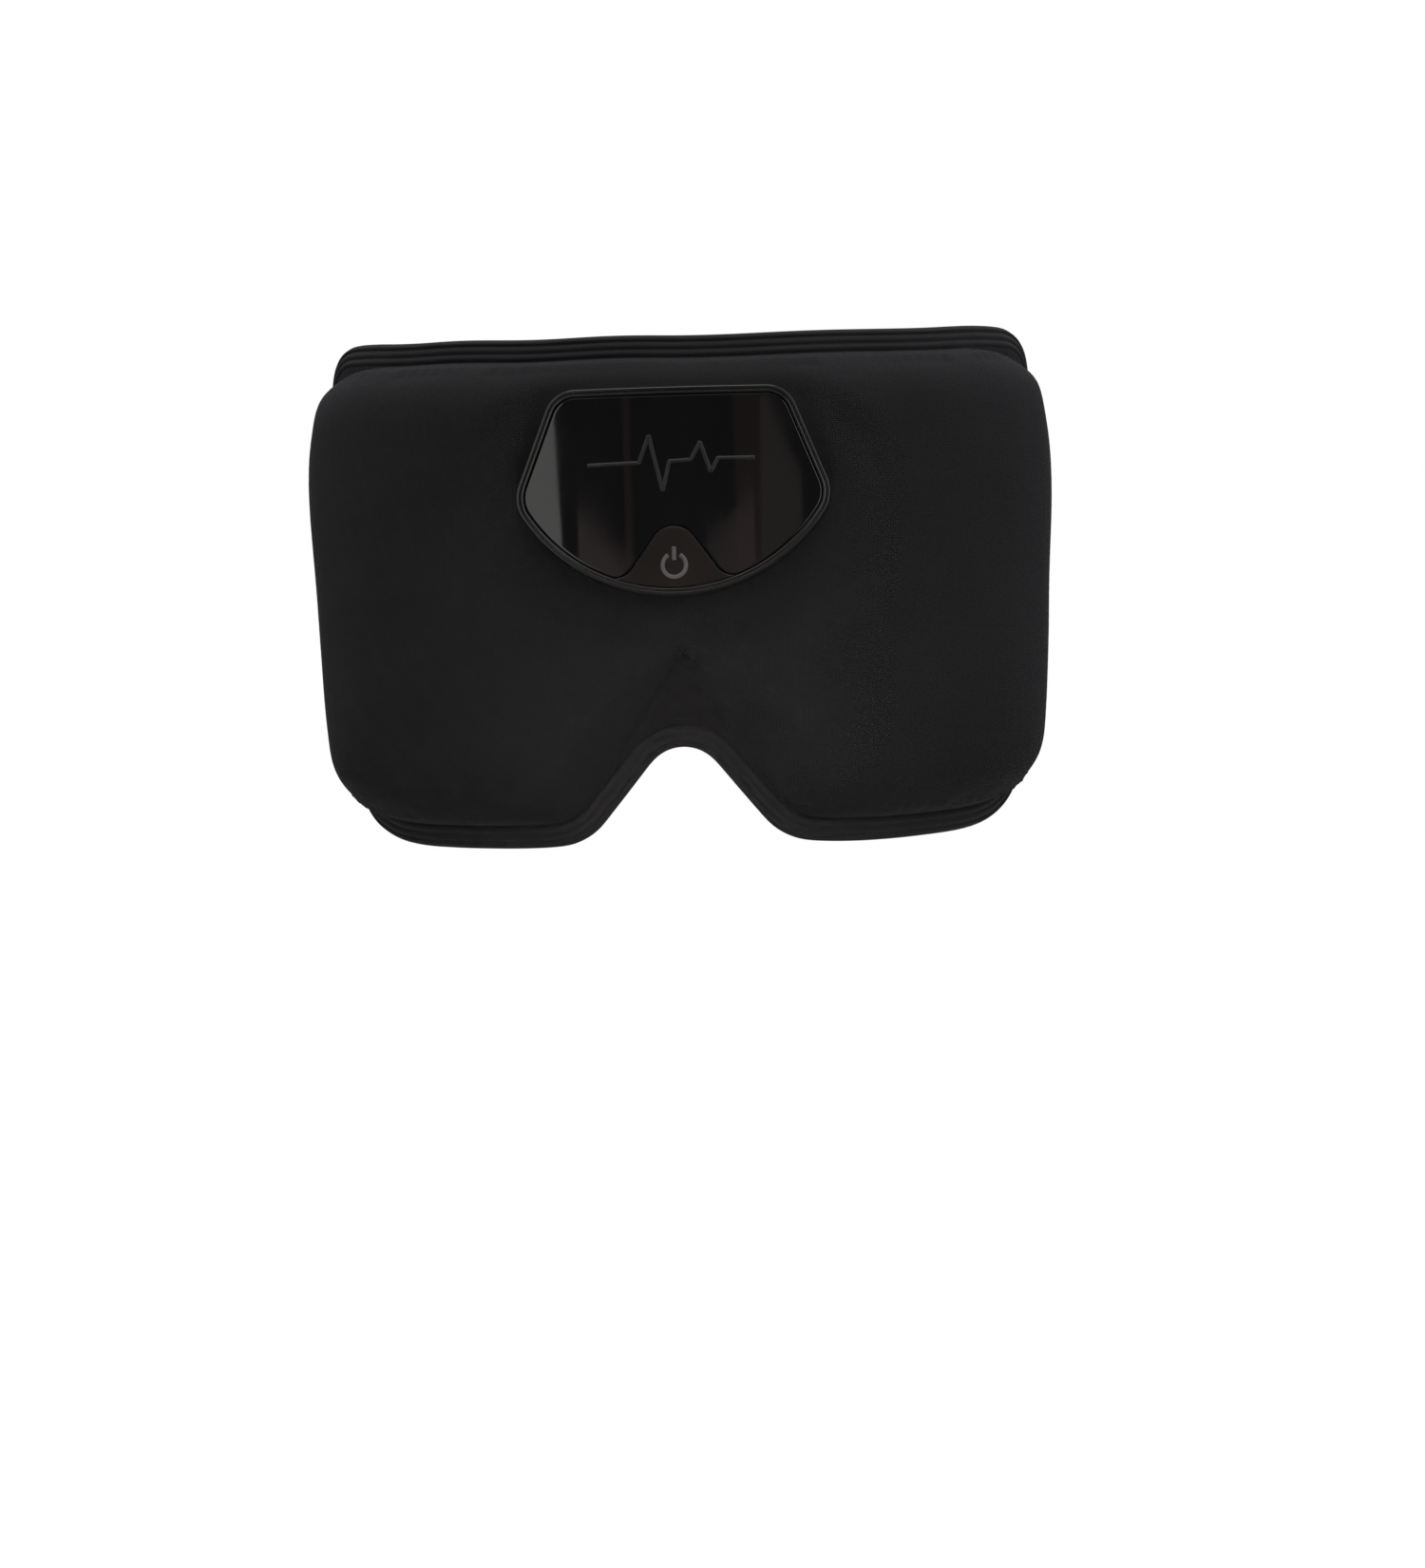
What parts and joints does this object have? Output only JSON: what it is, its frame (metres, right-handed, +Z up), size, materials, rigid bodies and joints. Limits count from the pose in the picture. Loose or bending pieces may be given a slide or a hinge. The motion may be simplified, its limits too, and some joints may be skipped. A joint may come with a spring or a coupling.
{
  "type": "eye massager mask",
  "caption": "Padded wrap-round eye mask with heating and vibration motors, a brow control module with push button, eye cups, nose notch and adjustable elastic head strap.",
  "frame": {"origin": "where the middle of the mask's face side touches the brow, at mid height, on the middle plane", "axes": "+X towards the wearer's left, +Y into the face and back to the strap, +Z up; the front with the module faces -Y"},
  "size_m": [0.1742, 0.2197, 0.116],
  "materials": {
    "cover_knit": "fine matte knit",
    "lining_fabric": "soft brushed knit",
    "foam": "open cell foam",
    "strap_webbing": "ribbed elastic webbing",
    "housing_plastic": "satin",
    "lens_gloss": "polished",
    "button_plastic": "satin",
    "slider_plastic": "moulded",
    "ring_metal": "black enamel",
    "board": "solder mask",
    "chip_plastic": "moulded",
    "lamp_lens": "clear",
    "tape": "adhesive tape",
    "switch_plunger": "moulded",
    "silicone": "soft silicone",
    "cell_wrap": "foil pouch",
    "steel": "plated",
    "heater_film": "polyimide film",
    "sensor_bead": "epoxy bead",
    "wire": "silicone insulation",
    "magnet": "sintered",
    "rotor_weight": "machined"
  },
  "bodies": {
    "mask": {"battery": "cell_wrap", "battery_tape": "foam", "button_return_pad": "silicone", "control_chips": "chip_plastic", "eye_cup_left": "lining_fabric", "eye_cup_right": "lining_fabric", "face_lining": "lining_fabric", "face_pad": "foam", "foam_core": "foam", "front_cover": "cover_knit", "front_housing": "housing_plastic", "heater_film_left": "heater_film", "heater_film_right": "heater_film", "heater_leads_left": "wire", "heater_leads_right": "wire", "housing_screws": "steel", "lens_panel": "lens_gloss", "lens_tape": "tape", "main_pcb": "board", "motor_base_1": "steel", "motor_base_2": "steel", "motor_base_3": "steel", "motor_base_4": "steel", "motor_case_1": "steel", "motor_case_2": "steel", "motor_case_3": "steel", "motor_case_4": "steel", "motor_leads_1": "wire", "motor_leads_2": "wire", "motor_leads_3": "wire", "motor_leads_4": "wire", "motor_magnet_1": "magnet", "motor_magnet_2": "magnet", "motor_magnet_3": "magnet", "motor_magnet_4": "magnet", "rear_shell": "housing_plastic", "sensor_leads": "wire", "status_leds": "lamp_lens", "strap_main": "strap_webbing", "strap_return": "strap_webbing", "tab_left": "strap_webbing", "tab_right": "strap_webbing", "tact_switch_body": "chip_plastic", "temperature_sensor": "sensor_bead", "usb_shell": "steel", "usb_tongue": "chip_plastic", "wire_connectors": "chip_plastic"},
    "button": {"power_button": "button_plastic", "tact_switch_plunger": "switch_plunger"},
    "rotor_1": {"motor_rotor_1": "rotor_weight"},
    "rotor_2": {"motor_rotor_2": "rotor_weight"},
    "rotor_3": {"motor_rotor_3": "rotor_weight"},
    "rotor_4": {"motor_rotor_4": "rotor_weight"},
    "ring": {"strap_ring": "ring_metal"},
    "slider": {"strap_slider": "slider_plastic", "strap_end_loop": "strap_webbing"}
  },
  "joints": [
    {"name": "power_press", "type": "slide", "parent": "mask", "child": "button", "axis": [0, 1, 0], "range_m": [0, 0.0006], "stiffness_N_per_m": 900, "springref_m": -0.0004, "deforming": ["button_return_pad"]},
    {"name": "rotor_spin_1", "type": "hinge", "parent": "mask", "child": "rotor_1", "pos_m": [0.05622, 0.01062, 0.022], "axis": [0.5878, -0.809, 0], "continuous": true},
    {"name": "rotor_spin_2", "type": "hinge", "parent": "mask", "child": "rotor_2", "pos_m": [0.06881, 0.02156, -0.02], "axis": [0.7193, -0.6947, 0], "continuous": true},
    {"name": "rotor_spin_3", "type": "hinge", "parent": "mask", "child": "rotor_3", "pos_m": [-0.05622, 0.01062, 0.022], "axis": [-0.5878, -0.809, 0], "continuous": true},
    {"name": "rotor_spin_4", "type": "hinge", "parent": "mask", "child": "rotor_4", "pos_m": [-0.06881, 0.02156, -0.02], "axis": [-0.7193, -0.6947, 0], "continuous": true},
    {"name": "ring_tilt", "type": "hinge", "parent": "mask", "child": "ring", "pos_m": [0.07898, 0.064, 0], "axis": [0, 0, 1], "range_deg": [-5, 5]},
    {"name": "strap_adjust", "type": "slide", "parent": "mask", "child": "slider", "axis": [0, -1, 0], "range_m": [0, 0.02], "deforming": ["strap_return"]}
  ]
}
